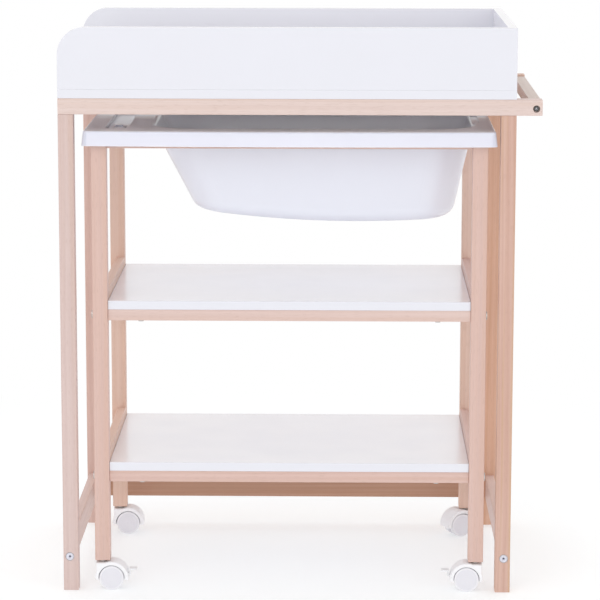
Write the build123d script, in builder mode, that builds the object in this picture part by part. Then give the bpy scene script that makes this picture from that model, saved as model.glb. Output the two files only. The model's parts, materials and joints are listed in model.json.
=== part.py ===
from build123d import *
from math import cos, radians, sin
import os

# The object is a wooden table that carries a changing tray. A trolley with two shelves and a bath
# stands inside it and rolls out to the front, which is the side towards -Y. The origin lies on the
# floor under the middle of the whole object.

# Fixed table
table_width = 757.5          # over the outer faces of the legs
towel_bar_reach = 42.5       # from the right-hand legs to the outer face of the towel bar
table_depth = 480.0
frame_height = 838.5         # top of the long rails
leg_size = 25.5
top_rail_height = 26.5
end_rail_width = 18.0
towel_bar_size = 20.0
wood_ease = 1.2              # rounding of the planed edges

# Low stretchers of the table
stretcher_thickness = 15.0
stretcher_height = 44.0
stretcher_bottom = 51.0
stretcher_inset = 3.5        # behind the outer face of the legs
stretcher_bolt_rise = 8.0    # above the lower edge of the stretcher
stretcher_dowel_rise = 33.0
end_rail_dowel_drop = 9.0    # below the top of the frame

# Changing tray
board_thickness = 15.0
board_ease = 0.8
tray_height = 117.5          # base board and panel together
tray_corner_radius = 46.0

# Trolley
trolley_inset = 5.5          # front legs behind the front legs of the table
trolley_side_gap = 24.0      # to the legs of the table, each side
trolley_shift = 4.0          # the trolley stands a little to the right
trolley_back_gap = 77.5      # from the back legs to the back face of the table
trolley_foot = 51.0          # lower end of the trolley's legs
trolley_head_gap = 30.5      # from the top of the trolley's frame to the table's rails
cross_rail_thickness = 18.0
shelf_rail_height = 18.5
head_rail_height = 26.5
side_rail_thickness = 15.0
side_rail_height = 45.0
side_rail_rise = 15.5        # above the shelf
side_dowel_rises = (18.0, 36.0)  # above the lower edge of a side rail
head_bolt_rise = 17.0        # above the lower edge of the head rails
head_dowel_rise = 6.0
lower_shelf_top = 221.5
upper_shelf_top = 498.5
shelf_side_gap = 0.3

# Bath
rim_overhang = 15.0          # past the sides of the trolley
rim_front_overhang = 12.0    # past the front and the back of the trolley, at the corners
rim_bulge = 8.0              # how far the long sides of the rim swell
rim_corner_radius = 10.0
rim_thickness = 3.3
rim_skirt_height = 24.5
rim_draft = 3.0
rim_ease = 2.5
bath_wall = 3.0
bowl_depth = 161.6           # from the top of the rim to the underside of the bowl, at the drain
bowl_left_margin = 110.5     # from the left end of the rim to the mouth of the bowl
bowl_right_margin = 34.7
bowl_side_margin = 38.0      # from the front and the back of the trolley to the mouth
bowl_left_run = 86.0         # how far each side of the bowl comes in towards the floor
bowl_right_run = 38.0
bowl_side_run = 23.0
bowl_corner_radius = 74.0
floor_corner_radius = 58.0
floor_edge_radius = 27.0
floor_bend_radius = 1800.0   # the floor sags towards the drain and is straight from front to back
mouth_ease = 9.0
mouth_seam_radius = 4.2      # under the rim, around the bowl
spout_width = 122.0          # shallow step in the right edge of the mouth
spout_reach = 5.0
spout_depth = 1.8
spout_corner_radius = 4.0
dish_end_margin = 47.5       # from the front and the back of the rim
dish_width = 37.0
dish_depth = 7.0
dish_corner_radius = 12.0
dish_ease = 1.5
dish_left_margin = 36.0
dish_pad_width = 22.0        # raised rest with a shallow well in the front part of the dish
dish_pad_length = 58.0
dish_pad_height = 3.5
dish_pad_border = 4.0
dish_well_depth = 2.0
dish_pad_place_share = -0.33  # along the dish, from its middle
drain_radius = 17.0
drain_seat_radius = 23.0     # level recess that the flange of the plug lies in
drain_seat_depth = 0.3
drain_place_share = 0.632    # along the bowl, from its left end

# Drain plug
plug_radius = 16.6
plug_flange_radius = 21.5
plug_flange_thickness = 2.4
plug_knob_radius = 6.0
plug_knob_height = 9.0
plug_ease = 0.8

# Castors
castor_trail = 15.0          # from the stem to the axle
castor_width = 34.0
wheel_radius = 21.0
wheel_width = 10.2
wheel_ease = 2.0
wheel_cap_radius = 17.3      # shallow dish in the outer face
wheel_cap_depth = 0.6
web_width = 12.4             # the middle of the hood, between the wheels
fender_gap = 1.3
fender_wall = 6.1
hood_foot = 17.5
hood_lead = 11.0             # from the stem to the flat front of the hood
hood_corner_radius = 5.0
hood_ease = 1.2
boss_rise = 47.4             # where the hood ends under the collar of the stem
axle_boss_radius = 7.5
stem_radius = 4.0
stem_foot = 29.0
stem_top = 86.0
stem_collar_radius = 6.5
stem_collar_gap = 0.3
collar_side_gap = 1.0
socket_wall = 2.2
socket_length = 38.0
axle_radius = 3.0
axle_length = 29.0
bearing_gap = 0.05
castor_headings = {          # degrees from +X, the way each castor trails
    ("front", "left"): 0.0,
    ("front", "right"): 180.0,
    ("back", "left"): 0.0,
    ("back", "right"): 206.0,
}

# Brake pedals of the two front castors, measured from the axle
pedal_pivot_reach = 25.2     # towards the trailing side
pedal_pivot_rise = 4.0
pedal_barrel_radius = 2.4
pedal_thickness = 6.0
pedal_pin_radius = 1.2
pedal_arm_height = 3.0
pedal_post_gap = 1.0         # from the hood to the upright of the pedal
pedal_post_width = 2.4
pedal_tab_end = 42.5
pedal_tab_rise = 14.6        # top of the tab
pedal_tab_thickness = 2.6
pedal_tab_width = 15.0
pedal_tab_ease = 3.0
pedal_gap = 0.4
pedal_travel_room = 3.0      # under and over the arm

# Fasteners
bolt_radius = 3.0
bolt_length = 62.0
bolt_head_radius = 7.0
bolt_head_thickness = 2.0
bolt_key_size = 4.6
bolt_key_depth = 3.0
towel_bolt_radius = 3.0
towel_bolt_length = 60.0
towel_bolt_head_radius = 4.4
towel_bolt_head_thickness = 4.0
towel_bolt_sink = 3.0
towel_bolt_well_radius = 6.0
towel_bolt_drop = 2.0        # below the middle of the rail
dowel_radius = 4.0
dowel_length = 24.0
dowel_chamfer = 1.0
screw_radius = 2.0
screw_head_radius = 4.5
screw_head_thickness = 2.2
screw_slot_width = 1.0
screw_slot_depth = 1.0
rail_screw_bite = 11.0       # into the base board of the tray or into a shelf
panel_screw_bite = 28.0      # into a panel of the tray
hole_gap = 0.15
hole_end_gap = 0.5
head_gap = 0.4
shelf_screw_margin = 55.0    # from the inner face of the leg
rail_screw_places_share = (-0.36, 0.0, 0.36)
panel_screw_places_share = (-0.42, 0.06, 0.42)
end_screw_places_share = (-0.28, 0.28)

overrun = 5.0                # how far a cutting shape passes the surface
nudge = 0.01                 # how closely heights are told apart

# Places that follow from the sizes above
overall_width = table_width + towel_bar_reach
rim_stand_out = rim_front_overhang + rim_bulge - trolley_inset
overall_depth = table_depth + rim_stand_out
table_left = -overall_width / 2
table_right = table_left + table_width
table_front = rim_stand_out - overall_depth / 2
table_back = table_front + table_depth
rail_bottom = frame_height - top_rail_height
table_middle_x = (table_left + table_right) / 2
table_middle_y = (table_front + table_back) / 2
table_sides = {"left": table_left, "right": table_right}
table_ends = {"front": table_front, "back": table_back}

trolley_left = table_left + leg_size + trolley_side_gap + trolley_shift
trolley_right = table_right - leg_size - trolley_side_gap + trolley_shift
trolley_front = table_front + trolley_inset
trolley_back = table_back - trolley_back_gap
trolley_top = rail_bottom - trolley_head_gap
trolley_middle_x = (trolley_left + trolley_right) / 2
trolley_middle_y = (trolley_front + trolley_back) / 2
trolley_sides = {"left": trolley_left, "right": trolley_right}
trolley_ends = {"front": trolley_front, "back": trolley_back}


def inward(name):
    """+1 where the piece lies on the left or front side, and -1 on the right or back side."""
    return 1 if name in ("left", "front") else -1


def span(edge, name, depth):
    """The two ends, low one first, of a stretch that runs inward from an outer face."""
    other = edge + inward(name) * depth
    return min(edge, other), max(edge, other)


def chosen(places, *words):
    """The places whose key holds all the given words."""
    return [place for key, place in places.items() if set(words) <= set(key)]


def facing(point, outward):
    """A plane at a point on a surface, looking out of it."""
    return Plane(origin=point, z_dir=outward)


def finish(name, part):
    """Label a finished piece and write it."""
    part.label = name
    export_step(part, f"parts/{name}.step")


# Drillings: each is made at the plane where its fastener starts


def drill_bolt(place):
    with Locations(place):
        CounterBoreHole(bolt_radius + hole_gap, bolt_head_radius + head_gap, bolt_head_thickness,
                        bolt_length + hole_end_gap)


def drill_towel_bolt(place):
    with Locations(place):
        CounterBoreHole(towel_bolt_radius + hole_gap, towel_bolt_well_radius,
                        towel_bolt_sink + towel_bolt_head_thickness,
                        towel_bolt_length + hole_end_gap)


def drill_dowel(place):
    with Locations(place):
        Hole(dowel_radius + hole_gap, dowel_length / 2 + hole_end_gap)


def drill_rail_screw(place):
    with Locations(place):
        CounterBoreHole(screw_radius + hole_gap, screw_head_radius + head_gap,
                        screw_head_thickness, top_rail_height + rail_screw_bite + hole_end_gap)


def drill_shelf_screw(place):
    with Locations(place):
        Hole(screw_radius + hole_gap,
             screw_head_thickness + shelf_rail_height + rail_screw_bite + hole_end_gap)


def drill_panel_screw(place):
    with Locations(place):
        CounterBoreHole(screw_radius + hole_gap, screw_head_radius + head_gap,
                        screw_head_thickness, board_thickness + panel_screw_bite + hole_end_gap)


def drill_socket(place):
    with Locations(place):
        Hole(stem_radius + bearing_gap + socket_wall + hole_gap, socket_length + hole_end_gap)


def plank(low, high, ease, drillings=()):
    """A bar or board that fills the box between two corners, its edges eased, its holes drilled."""
    length, width, height = (b - a for a, b in zip(low, high))
    foot = Plane(origin=((low[0] + high[0]) / 2, (low[1] + high[1]) / 2, low[2]))
    with BuildPart() as piece:
        with BuildSketch(foot):
            Rectangle(length, width)
        extrude(amount=height)
        fillet(piece.edges(), ease)
        for drill, places in drillings:
            for place in places:
                drill(place)
    return piece.part


# Where the fasteners of the table sit

leg_centres_x = {side: edge + inward(side) * leg_size / 2 for side, edge in table_sides.items()}
leg_centres_y = {end: edge + inward(end) * leg_size / 2 for end, edge in table_ends.items()}
stretcher_centres_x = {side: edge + inward(side) * (stretcher_inset + stretcher_thickness / 2)
                       for side, edge in table_sides.items()}
stretcher_middle_z = stretcher_bottom + stretcher_height / 2
rail_middle_z = frame_height - top_rail_height / 2
towel_bar_x = overall_width / 2 - towel_bar_size / 2
tray_top = frame_height + tray_height
tray_floor = frame_height + board_thickness
panel_middle_z = (tray_floor + tray_top) / 2

stretcher_bolts = {
    (end, side): facing((stretcher_centres_x[side], edge, stretcher_bottom + stretcher_bolt_rise),
                        (0, -inward(end), 0))
    for side in table_sides for end, edge in table_ends.items()}
towel_bolts = {
    (end,): facing((towel_bar_x, edge, rail_middle_z - towel_bolt_drop), (0, -inward(end), 0))
    for end, edge in table_ends.items()}
leg_dowels = {
    (end, side): facing((leg_centres_x[side], leg_centres_y[end], rail_bottom), (0, 0, 1))
    for side in table_sides for end in table_ends}
end_rail_dowels = {
    (end, side): facing((table_sides[side] + inward(side) * end_rail_width / 2,
                         table_ends[end] + inward(end) * leg_size,
                         frame_height - end_rail_dowel_drop), (0, 1, 0))
    for side in table_sides for end in table_ends}
stretcher_dowels = {
    (end, side): facing((stretcher_centres_x[side], table_ends[end] + inward(end) * leg_size,
                         stretcher_bottom + stretcher_dowel_rise), (0, 1, 0))
    for side in table_sides for end in table_ends}
back_dowels = {
    ("back", side): facing((edge + inward(side) * leg_size, leg_centres_y["back"],
                            stretcher_middle_z), (1, 0, 0))
    for side, edge in table_sides.items()}
panel_dowels = {
    (end,): facing((table_right - board_thickness / 2, face + inward(end) * board_thickness,
                    panel_middle_z), (0, 1, 0))
    for end, face in table_ends.items()}
rail_screws = {
    (end, share): facing((table_middle_x + share * table_width, leg_centres_y[end], rail_bottom),
                         (0, 0, -1))
    for share in rail_screw_places_share for end in table_ends}
panel_screws = {
    (end, share): facing((table_middle_x + share * table_width,
                          face + inward(end) * board_thickness / 2, frame_height), (0, 0, -1))
    for share in panel_screw_places_share for end, face in table_ends.items()}
end_screws = {
    ("right", share): facing((table_right - board_thickness / 2,
                              table_middle_y + share * table_depth, frame_height), (0, 0, -1))
    for share in end_screw_places_share}

os.makedirs("parts", exist_ok=True)

# Legs of the table

for side, edge_x in table_sides.items():
    for end, edge_y in table_ends.items():
        x0, x1 = span(edge_x, side, leg_size)
        y0, y1 = span(edge_y, end, leg_size)
        pegs = [place for group in (leg_dowels, stretcher_dowels, back_dowels)
                for place in chosen(group, end, side)]
        finish(f"table_leg_{end}_{side}",
               plank((x0, y0, 0), (x1, y1, rail_bottom), wood_ease,
                     [(drill_bolt, chosen(stretcher_bolts, end, side)), (drill_dowel, pegs)]))

# Top rails: the long ones run past the right-hand legs to carry the towel bar

for end, edge_y in table_ends.items():
    y0, y1 = span(edge_y, end, leg_size)
    finish(f"table_rail_{end}",
           plank((table_left, y0, rail_bottom), (overall_width / 2, y1, frame_height), wood_ease,
                 [(drill_towel_bolt, chosen(towel_bolts, end)),
                  (drill_dowel, chosen(leg_dowels, end) + chosen(end_rail_dowels, end)),
                  (drill_rail_screw, chosen(rail_screws, end))]))

for side, edge_x in table_sides.items():
    x0, x1 = span(edge_x, side, end_rail_width)
    finish(f"table_rail_{side}",
           plank((x0, table_front + leg_size, rail_bottom), (x1, table_back - leg_size, frame_height),
                 wood_ease, [(drill_dowel, chosen(end_rail_dowels, side))]))

# Low stretchers

for side, x in stretcher_centres_x.items():
    finish(f"stretcher_{side}",
           plank((x - stretcher_thickness / 2, table_front + leg_size, stretcher_bottom),
                 (x + stretcher_thickness / 2, table_back - leg_size,
                  stretcher_bottom + stretcher_height), wood_ease,
                 [(drill_bolt, chosen(stretcher_bolts, side)),
                  (drill_dowel, chosen(stretcher_dowels, side))]))

finish("stretcher_back",
       plank((table_left + leg_size, leg_centres_y["back"] - stretcher_thickness / 2,
              stretcher_bottom),
             (table_right - leg_size, leg_centres_y["back"] + stretcher_thickness / 2,
              stretcher_bottom + stretcher_height), wood_ease,
             [(drill_dowel, chosen(back_dowels, "back"))]))

# Towel bar between the ends of the long rails

finish("towel_bar",
       plank((towel_bar_x - towel_bar_size / 2, table_front + leg_size,
              rail_middle_z - towel_bar_size / 2),
             (towel_bar_x + towel_bar_size / 2, table_back - leg_size,
              rail_middle_z + towel_bar_size / 2), wood_ease,
             [(drill_towel_bolt, towel_bolts.values())]))

# Changing tray: a base board with panels on three sides, open at the left end

finish("tray_base",
       plank((table_left, table_front, frame_height), (table_right, table_back, tray_floor),
             board_ease, [(drill_rail_screw, rail_screws.values()),
                          (drill_panel_screw, [*panel_screws.values(), *end_screws.values()])]))

for end, edge_y in table_ends.items():
    y0, y1 = span(edge_y, end, board_thickness)
    face = Plane(origin=(table_middle_x, y0, panel_middle_z), x_dir=(1, 0, 0), z_dir=(0, -1, 0))
    with BuildPart() as tray_panel:
        with BuildSketch(face) as outline:
            Rectangle(table_width, tray_top - tray_floor)
            fillet(outline.vertices().group_by(Axis.Y)[-1].sort_by(Axis.X)[0], tray_corner_radius)
        extrude(amount=-board_thickness)
        fillet(tray_panel.edges(), board_ease)
        for place in chosen(panel_screws, end):
            drill_panel_screw(place)
        for place in chosen(panel_dowels, end):
            drill_dowel(place)
    finish(f"tray_panel_{end}", tray_panel.part)

finish("tray_panel_right",
       plank((table_right - board_thickness, table_front + board_thickness, tray_floor),
             (table_right, table_back - board_thickness, tray_top), board_ease,
             [(drill_panel_screw, end_screws.values()), (drill_dowel, panel_dowels.values())]))

# Fasteners


def bolts(places, radius, length, head_radius, head_thickness, sink):
    """Bolts with a disc head and a hexagonal key hole, sunk below their starting planes."""
    with BuildPart() as group:
        for place in places:
            top = place.offset(-sink)
            with Locations(top):
                Cylinder(head_radius, head_thickness, align=(Align.CENTER, Align.CENTER, Align.MAX))
                Cylinder(radius, length - sink, align=(Align.CENTER, Align.CENTER, Align.MAX))
            with BuildSketch(top):
                RegularPolygon(bolt_key_size / 2, side_count=6)
            extrude(amount=-bolt_key_depth, mode=Mode.SUBTRACT)
    return group.part


def screws(places):
    """Screws with a disc head and a cross slot, each with its place and its length."""
    with BuildPart() as group:
        for place, length in places:
            with Locations(place):
                Cylinder(screw_head_radius, screw_head_thickness,
                         align=(Align.CENTER, Align.CENTER, Align.MAX))
                Cylinder(screw_radius, length, align=(Align.CENTER, Align.CENTER, Align.MAX))
            with BuildSketch(place):
                Rectangle(screw_head_radius, screw_slot_width)
                Rectangle(screw_slot_width, screw_head_radius)
            extrude(amount=-screw_slot_depth, mode=Mode.SUBTRACT)
    return group.part


def dowels(places):
    """Wooden dowels, each centred on the joint between its two pieces."""
    with BuildPart() as group:
        for place in places:
            with BuildSketch(place.offset(-dowel_length / 2)):
                Circle(dowel_radius)
            extrude(amount=dowel_length)
        chamfer(group.edges().filter_by(GeomType.CIRCLE), dowel_chamfer)
    return group.part


finish("stretcher_bolts", bolts(stretcher_bolts.values(), bolt_radius, bolt_length,
                                bolt_head_radius, bolt_head_thickness, 0))
finish("towel_bar_bolts", bolts(towel_bolts.values(), towel_bolt_radius, towel_bolt_length,
                                towel_bolt_head_radius, towel_bolt_head_thickness,
                                towel_bolt_sink))
finish("table_dowels", dowels([*leg_dowels.values(), *end_rail_dowels.values(),
                               *stretcher_dowels.values(), *back_dowels.values(),
                               *panel_dowels.values()]))
finish("tray_screws", screws([(place, top_rail_height + rail_screw_bite)
                              for place in rail_screws.values()]
                             + [(place, board_thickness + panel_screw_bite)
                                for place in [*panel_screws.values(), *end_screws.values()]]))

# Trolley: where its rails and fasteners sit. At each level the cross rails run from left to right
# and the side rails from front to back.

shelf_tops = {"lower": lower_shelf_top, "upper": upper_shelf_top}
cross_rails = {level: (top - board_thickness - shelf_rail_height, top - board_thickness)
               for level, top in shelf_tops.items()}
side_rails = {level: (top + side_rail_rise - side_rail_height, top + side_rail_rise)
              for level, top in shelf_tops.items()}
cross_rails["head"] = (trolley_top - head_rail_height, trolley_top)
side_rails["head"] = cross_rails["head"]
bolt_rises = {"lower": shelf_rail_height / 2, "upper": shelf_rail_height / 2,
              "head": head_bolt_rise}
dowel_rises = {"lower": side_dowel_rises, "upper": side_dowel_rises, "head": (head_dowel_rise,)}

post_centres_x = {side: edge + inward(side) * leg_size / 2 for side, edge in trolley_sides.items()}
post_centres_y = {end: edge + inward(end) * leg_size / 2 for end, edge in trolley_ends.items()}


def side_rail_span(level, side):
    """The shelf rails are flush with the inner faces of the legs, the head rails with the outer."""
    edge = trolley_sides[side]
    if level != "head":
        edge += inward(side) * (leg_size - side_rail_thickness)
    return span(edge, side, side_rail_thickness)


trolley_bolts = {
    (level, end, side): facing((edge - inward(side) * bolt_head_thickness, post_centres_y[end],
                                bottom + bolt_rises[level]), (-inward(side), 0, 0))
    for level, (bottom, top) in cross_rails.items()
    for side, edge in trolley_sides.items() for end in trolley_ends}
trolley_dowels = {
    (level, end, side, rise): facing((sum(side_rail_span(level, side)) / 2,
                                      face + inward(end) * leg_size, bottom + rise), (0, 1, 0))
    for level, (bottom, top) in side_rails.items() for rise in dowel_rises[level]
    for side in trolley_sides for end, face in trolley_ends.items()}
shelf_screws = {
    (level, end, side): facing((edge + inward(side) * (leg_size + shelf_screw_margin),
                                post_centres_y[end], cross_rails[level][0] - screw_head_thickness),
                               (0, 0, -1))
    for level in shelf_tops for side, edge in trolley_sides.items() for end in trolley_ends}
sockets = {
    (end, side): facing((x, y, trolley_foot), (0, 0, -1))
    for end, y in post_centres_y.items() for side, x in post_centres_x.items()}

for side, edge_x in trolley_sides.items():
    for end, edge_y in trolley_ends.items():
        x0, x1 = span(edge_x, side, leg_size)
        y0, y1 = span(edge_y, end, leg_size)
        finish(f"trolley_leg_{end}_{side}",
               plank((x0, y0, trolley_foot), (x1, y1, trolley_top), wood_ease,
                     [(drill_bolt, chosen(trolley_bolts, end, side)),
                      (drill_dowel, chosen(trolley_dowels, end, side)),
                      (drill_socket, chosen(sockets, end, side))]))

for level, (bottom, top) in cross_rails.items():
    for end, y in post_centres_y.items():
        finish(f"trolley_rail_{level}_{end}",
               plank((trolley_left + leg_size, y - cross_rail_thickness / 2, bottom),
                     (trolley_right - leg_size, y + cross_rail_thickness / 2, top), wood_ease,
                     [(drill_bolt, chosen(trolley_bolts, level, end)),
                      (drill_shelf_screw, chosen(shelf_screws, level, end))]))

for level, (bottom, top) in side_rails.items():
    for side in trolley_sides:
        x0, x1 = side_rail_span(level, side)
        finish(f"trolley_rail_{level}_{side}",
               plank((x0, trolley_front + leg_size, bottom), (x1, trolley_back - leg_size, top),
                     wood_ease, [(drill_dowel, chosen(trolley_dowels, level, side))]))

cross_rail_inset = (leg_size - cross_rail_thickness) / 2
for level, top in shelf_tops.items():
    finish(f"shelf_{level}",
           plank((trolley_left + leg_size + shelf_side_gap, trolley_front + cross_rail_inset,
                  top - board_thickness),
                 (trolley_right - leg_size - shelf_side_gap, trolley_back - cross_rail_inset, top),
                 board_ease, [(drill_shelf_screw, chosen(shelf_screws, level))]))

finish("trolley_bolts", bolts(trolley_bolts.values(), bolt_radius, bolt_length,
                              bolt_head_radius, bolt_head_thickness, 0))
finish("trolley_dowels", dowels(trolley_dowels.values()))
finish("shelf_screws", screws([(place, screw_head_thickness + shelf_rail_height + rail_screw_bite)
                               for place in shelf_screws.values()]))

# Castors: plastic sockets in the feet of the legs, steel stems in them, and under each stem a hood
# that turns about it, with an axle and a pair of wheels

stem_collar_bottom = boss_rise + stem_collar_gap

with BuildPart() as castor_sockets:
    for place in sockets.values():
        with BuildSketch(place):
            Circle(stem_radius + bearing_gap + socket_wall)
            Circle(stem_radius + bearing_gap, mode=Mode.SUBTRACT)
        extrude(amount=-socket_length)
finish("castor_sockets", castor_sockets.part)

with BuildPart() as castor_stems:
    for place in sockets.values():
        x, y, _ = place.origin
        with BuildSketch(Plane(origin=(x, y, stem_foot))):
            Circle(stem_radius)
        extrude(amount=stem_top - stem_foot)
        with BuildSketch(Plane(origin=(x, y, stem_collar_bottom))):
            Circle(stem_collar_radius)
        extrude(amount=trolley_foot - stem_collar_bottom)
finish("castor_stems", castor_stems.part)

axle_height = wheel_radius
fender_inner = wheel_radius + fender_gap
fender_outer = fender_inner + fender_wall
axle_point = (castor_trail, axle_height)
pedal_pivot = (castor_trail + pedal_pivot_reach, axle_height + pedal_pivot_rise)


def castor_side(corner):
    """The middle plane of a castor: along its trailing side, and up."""
    x, y, _ = sockets[corner].origin
    heading = radians(castor_headings[corner])
    return Plane(origin=(x, y, 0), x_dir=(cos(heading), sin(heading), 0),
                 z_dir=(sin(heading), -cos(heading), 0))


def upright(corner, height):
    """A plane at a height, centred on the stem of a castor."""
    x, y, _ = sockets[corner].origin
    return Plane(origin=(x, y, height))


def hood_outline(side):
    """A hood from the side: round over the wheels, flat in front and under the collar."""
    trim = 2 * fender_outer + overrun
    with BuildSketch(side) as outline:
        with Locations(axle_point):
            Circle(fender_outer)
        with Locations((castor_trail, hood_foot)):
            Rectangle(trim, trim, align=(Align.CENTER, Align.MAX), mode=Mode.SUBTRACT)
        with Locations((castor_trail, hood_foot)):
            Rectangle(castor_trail + hood_lead, boss_rise - hood_foot,
                      align=(Align.MAX, Align.MIN))
        front = outline.vertices().group_by(Axis.X)[0]
        fillet(front.sort_by(Axis.Y)[-1], hood_corner_radius)
    return outline.sketch


def castor_hood(corner, braked):
    """A thick hood with a round pocket on each side for a wheel and a web between them."""
    side = castor_side(corner)
    with BuildPart() as hood:
        extrude(hood_outline(side), amount=castor_width / 2, both=True)
        cheeks = hood.faces().sort_by(Axis(side.origin, side.z_dir))
        chamfer(cheeks[0].edges() + cheeks[-1].edges(), hood_ease)
        for way in (1, -1):
            with BuildSketch(side.offset(way * web_width / 2)):
                with Locations(axle_point):
                    Circle(fender_inner)
            extrude(amount=way * castor_width, mode=Mode.SUBTRACT)
        with BuildSketch(side):
            with Locations(axle_point):
                Circle(axle_boss_radius)
        extrude(amount=web_width / 2, both=True)
        with BuildSketch(upright(corner, stem_foot - stem_collar_gap)):
            Circle(stem_radius + bearing_gap)
        extrude(amount=boss_rise, mode=Mode.SUBTRACT)
        with BuildSketch(upright(corner, boss_rise)):
            Circle(stem_collar_radius + collar_side_gap)
        extrude(amount=boss_rise, mode=Mode.SUBTRACT)
        with BuildSketch(side):
            with Locations(axle_point):
                Circle(axle_radius + bearing_gap)
        extrude(amount=web_width, both=True, mode=Mode.SUBTRACT)
        if braked:
            with BuildSketch(side):
                with Locations(pedal_pivot):
                    Circle(pedal_barrel_radius + pedal_gap)
                    Rectangle(fender_outer, 2 * pedal_travel_room,
                              align=(Align.MIN, Align.CENTER))
            extrude(amount=pedal_thickness / 2 + pedal_gap, both=True, mode=Mode.SUBTRACT)
            with BuildSketch(side):
                with Locations(pedal_pivot):
                    Circle(pedal_pin_radius + bearing_gap)
            extrude(amount=castor_width, both=True, mode=Mode.SUBTRACT)
    return hood.part


def castor_axle(corner):
    with BuildPart() as axle:
        with BuildSketch(castor_side(corner)):
            with Locations(axle_point):
                Circle(axle_radius)
        extrude(amount=axle_length / 2, both=True)
    return axle.part


def castor_wheels(corner):
    """Two wheels, each with rounded treads, a shallow dish in its outer face and a blind bore."""
    side = castor_side(corner)
    with BuildPart() as wheels:
        for way in (1, -1):
            with BuildSketch(side.offset(way * castor_width / 2)):
                with Locations(axle_point):
                    Circle(wheel_radius)
            extrude(amount=-way * wheel_width)
        fillet(wheels.edges().filter_by(GeomType.CIRCLE), wheel_ease)
        for way in (1, -1):
            with BuildSketch(side.offset(way * castor_width / 2)):
                with Locations(axle_point):
                    Circle(wheel_cap_radius)
            extrude(amount=-way * wheel_cap_depth, mode=Mode.SUBTRACT)
        with BuildSketch(side):
            with Locations(axle_point):
                Circle(axle_radius + bearing_gap)
        extrude(amount=axle_length / 2 + hole_end_gap, both=True, mode=Mode.SUBTRACT)
    return wheels.part


def brake_pedal(corner):
    """A barrel on a pin, an arm out of the hood, an upright and a wide tab to step on."""
    side = castor_side(corner)
    post_start = fender_outer + pedal_post_gap - pedal_pivot_reach
    tab_end = pedal_tab_end - pedal_pivot_reach
    tab_top = pedal_tab_rise - pedal_pivot_rise
    with BuildPart() as pedal:
        with BuildSketch(side):
            with Locations(pedal_pivot):
                Circle(pedal_barrel_radius)
                Rectangle(post_start + pedal_post_width, pedal_arm_height,
                          align=(Align.MIN, Align.CENTER))
                with Locations((post_start, -pedal_arm_height / 2)):
                    Rectangle(pedal_post_width, tab_top + pedal_arm_height / 2,
                              align=(Align.MIN, Align.MIN))
        extrude(amount=pedal_thickness / 2, both=True)
        with BuildSketch(side):
            with Locations(pedal_pivot):
                with Locations((post_start, tab_top)):
                    Rectangle(tab_end - post_start, pedal_tab_thickness,
                              align=(Align.MIN, Align.MAX))
        extrude(amount=pedal_tab_width / 2, both=True)
        corners = pedal.edges().filter_by(Axis.Z).sort_by(Axis(side.origin, side.x_dir))
        fillet(corners[-2:], pedal_tab_ease)
        with BuildSketch(side):
            with Locations(pedal_pivot):
                Circle(pedal_pin_radius)
        extrude(amount=castor_width / 2, both=True)
    return pedal.part


for corner in sockets:
    braked = "front" in corner
    name = "_".join(corner)
    finish(f"castor_hood_{name}", castor_hood(corner, braked))
    finish(f"castor_axle_{name}", castor_axle(corner))
    finish(f"castor_wheels_{name}", castor_wheels(corner))
    if braked:
        finish(f"brake_pedal_{name}", brake_pedal(corner))

# Bath

rim_half_length = (trolley_right - trolley_left) / 2 + rim_overhang
rim_half_depth = (trolley_back - trolley_front) / 2 + rim_front_overhang
rim_underside = trolley_top
rim_top = rim_underside + rim_thickness
skirt_bottom = rim_top - rim_skirt_height
mouth_left = trolley_middle_x - rim_half_length + bowl_left_margin
mouth_right = trolley_middle_x + rim_half_length - bowl_right_margin
mouth_front = trolley_front + bowl_side_margin
mouth_back = trolley_back - bowl_side_margin
dish_length = 2 * (rim_half_depth - dish_end_margin)
dish_x = trolley_middle_x - rim_half_length + dish_left_margin + dish_width / 2
drain_x = mouth_left + drain_place_share * (mouth_right - mouth_left)
seat_depth = bowl_depth - bath_wall + drain_seat_depth


def below_rim(x, depth):
    """A level plane at a depth below the top of the rim, on the long middle line of the bath."""
    return Plane(origin=(x, trolley_middle_y, rim_top - depth))


def rim_outline(height, growth):
    """The rim seen from above, grown or shrunk evenly: straight ends and gently swelling sides."""
    half_length = rim_half_length + growth
    half_depth = rim_half_depth + growth
    with BuildSketch(Plane(origin=(trolley_middle_x, trolley_middle_y, height))) as outline:
        with BuildLine():
            for way in (1, -1):
                ThreePointArc((-half_length, way * half_depth), (0, way * (half_depth + rim_bulge)),
                              (half_length, way * half_depth))
                Line((way * half_length, -half_depth), (way * half_length, half_depth))
        make_face()
        fillet(outline.vertices(), rim_corner_radius + growth)
    return outline.sketch


def bowl(wall):
    """The bowl as a solid up to the top of the rim; with a wall, the space inside it."""
    left = mouth_left + wall
    right = mouth_right - wall
    half_width = (mouth_back - mouth_front) / 2 - wall
    with BuildSketch(below_rim((left + right) / 2, 0)) as mouth:
        RectangleRounded(right - left, 2 * half_width, bowl_corner_radius - wall)
    left += bowl_left_run
    right -= bowl_right_run
    half_width -= bowl_side_run
    with BuildSketch(below_rim((left + right) / 2, bowl_depth + overrun)) as base:
        RectangleRounded(right - left, 2 * half_width, floor_corner_radius - wall)
    bend = floor_bend_radius - wall
    across = Plane(origin=(drain_x, trolley_middle_y, rim_top - bowl_depth + wall + bend),
                   x_dir=(1, 0, 0), z_dir=(0, -1, 0))
    with BuildPart() as body:
        loft(sections=[base.sketch, mouth.sketch], ruled=True)
        with BuildSketch(across):
            Circle(bend)
        extrude(amount=rim_half_depth, both=True, mode=Mode.INTERSECT)
        floor = body.faces().filter_by(GeomType.CYLINDER).sort_by(Axis.Z)[0]
        fillet(floor.edges(), floor_edge_radius - wall)
    return body.part


def around_mouth(edges):
    """Those of the edges that lie round the mouth of the bowl."""
    return (edges.filter_by_position(Axis.X, mouth_left, mouth_right)
            .filter_by_position(Axis.Y, mouth_front, mouth_back))


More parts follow.
